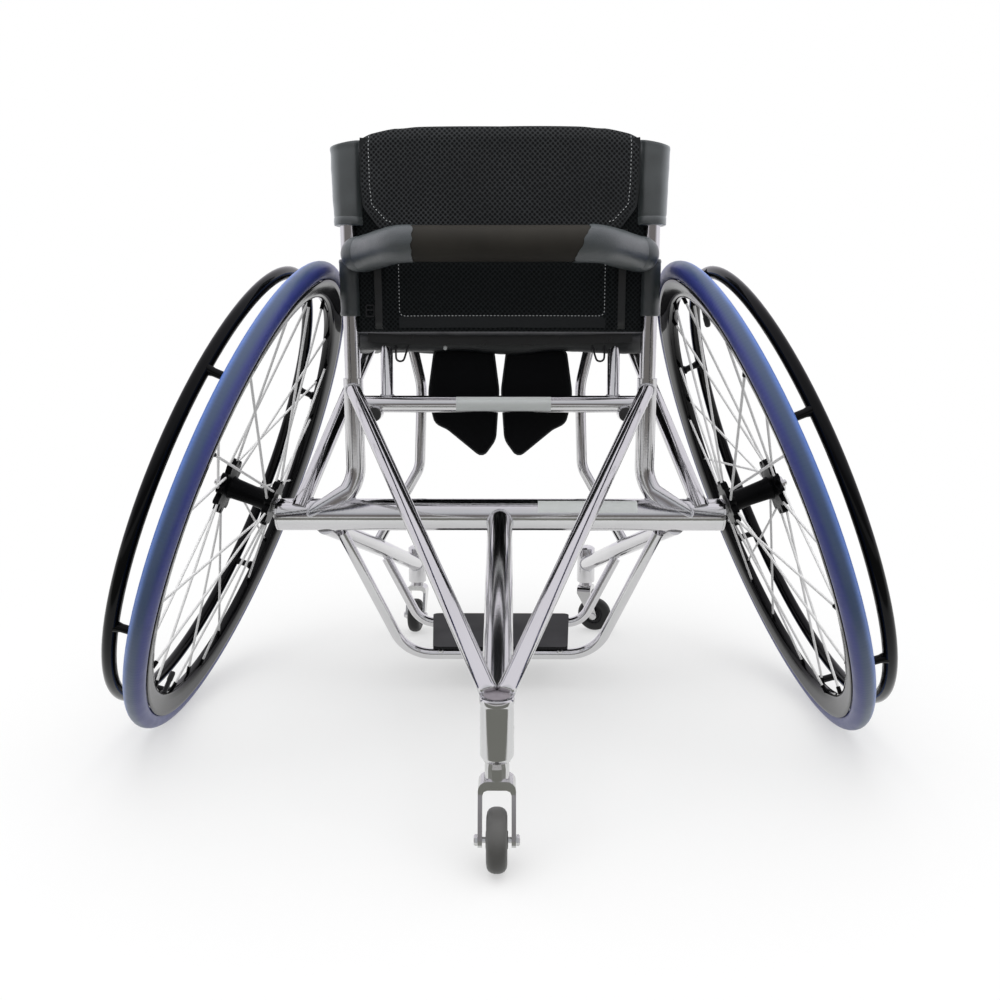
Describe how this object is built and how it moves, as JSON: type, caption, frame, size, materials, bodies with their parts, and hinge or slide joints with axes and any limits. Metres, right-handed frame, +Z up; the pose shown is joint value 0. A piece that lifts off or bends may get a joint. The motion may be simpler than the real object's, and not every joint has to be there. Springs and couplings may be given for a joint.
{
  "type": "court sports wheelchair",
  "caption": "Court wheelchair with steeply cambered handrim wheels, a welded tube frame, low padded back, swivelling front casters and a swivelling rear anti-tip caster.",
  "frame": {"origin": "on the floor under the middle of the chair's overall box", "axes": "+X to the sitter's right, along the axle; +Y forwards; +Z up"},
  "size_m": [0.9604, 0.8449, 0.7483],
  "materials": {
    "polished_tube": "polished bare aluminium",
    "satin_metal": "satin machined aluminium",
    "gloss_black": "gloss black coating on aluminium",
    "blue_tyre": "blue sidewalls with a grey-blue tread",
    "black_rubber": "moulded black",
    "black_vinyl": "soft black vinyl",
    "black_mesh": "black spacer mesh",
    "carbon_plate": "dark moulded plate"
  },
  "bodies": {
    "frame": {"antitip_housing": "satin_metal", "axle_left": "satin_metal", "axle_right": "satin_metal", "camber_plug_left": "satin_metal", "camber_plug_right": "satin_metal", "camber_tube": "polished_tube", "caster_arm_left": "polished_tube", "caster_arm_right": "polished_tube", "caster_housing_left": "satin_metal", "caster_housing_right": "satin_metal", "centre_boom": "polished_tube", "cross_bar": "polished_tube", "footplate": "carbon_plate", "front_down_tube_left": "polished_tube", "front_down_tube_right": "polished_tube", "front_foot_hoop": "polished_tube", "leg_flap_left": "black_mesh", "leg_flap_right": "black_mesh", "rear_foot_hoop": "polished_tube", "rear_strut_left": "polished_tube", "rear_strut_right": "polished_tube", "receiver_left": "polished_tube", "receiver_right": "polished_tube", "seat_frame": "gloss_black", "seat_sling": "black_mesh", "side_tube_left": "polished_tube", "side_tube_right": "polished_tube", "stem_bush_antitip": "satin_metal", "stem_bush_left": "satin_metal", "stem_bush_right": "satin_metal", "v_stay_left": "polished_tube", "v_stay_right": "polished_tube"},
    "backrest": {"back_post_left": "polished_tube", "back_post_right": "polished_tube", "lower_sleeve_left": "black_vinyl", "lower_sleeve_right": "black_vinyl", "upper_sleeve_left": "black_vinyl", "upper_sleeve_right": "black_vinyl", "grab_bar": "black_vinyl", "back_pad": "black_mesh", "back_cover": "black_mesh"},
    "wheel_left": {"tyre_left": "blue_tyre", "rim_left": "gloss_black", "spoked_hub_left": "gloss_black", "handrim_left": "gloss_black"},
    "button_left": {"axle_button_left": "satin_metal"},
    "caster_fork_left": {"caster_left_fork": "satin_metal", "caster_left_axle_bolt": "satin_metal"},
    "caster_wheel_left": {"caster_left_wheel": "black_rubber"},
    "wheel_right": {"tyre_right": "blue_tyre", "rim_right": "gloss_black", "spoked_hub_right": "gloss_black", "handrim_right": "gloss_black"},
    "button_right": {"axle_button_right": "satin_metal"},
    "caster_fork_right": {"caster_right_fork": "satin_metal", "caster_right_axle_bolt": "satin_metal"},
    "caster_wheel_right": {"caster_right_wheel": "black_rubber"},
    "antitip_caster": {"antitip_fork": "satin_metal", "antitip_axle_bolt": "satin_metal"},
    "antitip_caster_wheel": {"antitip_wheel": "black_rubber"}
  },
  "joints": [
    {"name": "wheel_roll_left", "type": "hinge", "parent": "frame", "child": "wheel_left", "pos_m": [-0.333, 0.008, 0.29954], "axis": [-0.9336, 0, 0.3584], "continuous": true},
    {"name": "release_button_left", "type": "slide", "parent": "frame", "child": "button_left", "axis": [0.9336, 0, -0.3584], "range_m": [0, 0.004], "stiffness_N_per_m": 600, "springref_m": -0.002},
    {"name": "caster_swivel_left", "type": "hinge", "parent": "frame", "child": "caster_fork_left", "pos_m": [-0.1483, 0.391, 0.1], "axis": [0, 0, 1], "continuous": true},
    {"name": "caster_roll_left", "type": "hinge", "parent": "caster_fork_left", "child": "caster_wheel_left", "pos_m": [-0.1506, 0.37466, 0.029], "axis": [-0.9903, 0.1392, 0], "continuous": true},
    {"name": "wheel_roll_right", "type": "hinge", "parent": "frame", "child": "wheel_right", "pos_m": [0.333, 0.008, 0.29954], "axis": [0.9336, 0, 0.3584], "continuous": true},
    {"name": "release_button_right", "type": "slide", "parent": "frame", "child": "button_right", "axis": [-0.9336, 0, -0.3584], "range_m": [0, 0.004], "stiffness_N_per_m": 600, "springref_m": -0.002},
    {"name": "caster_swivel_right", "type": "hinge", "parent": "frame", "child": "caster_fork_right", "pos_m": [0.1483, 0.391, 0.1], "axis": [0, 0, 1], "continuous": true},
    {"name": "caster_roll_right", "type": "hinge", "parent": "caster_fork_right", "child": "caster_wheel_right", "pos_m": [0.16399, 0.3859, 0.029], "axis": [-0.309, -0.9511, 0], "continuous": true},
    {"name": "antitip_swivel", "type": "hinge", "parent": "frame", "child": "antitip_caster", "pos_m": [0, -0.376, 0.1], "axis": [0, 0, 1], "continuous": true},
    {"name": "antitip_roll", "type": "hinge", "parent": "antitip_caster", "child": "antitip_caster_wheel", "pos_m": [0, -0.394, 0.03], "axis": [1, 0, 0], "continuous": true},
    {"name": "backrest_height", "type": "slide", "parent": "frame", "child": "backrest", "axis": [0, -0.0523, 0.9986], "range_m": [0, 0.05]}
  ]
}
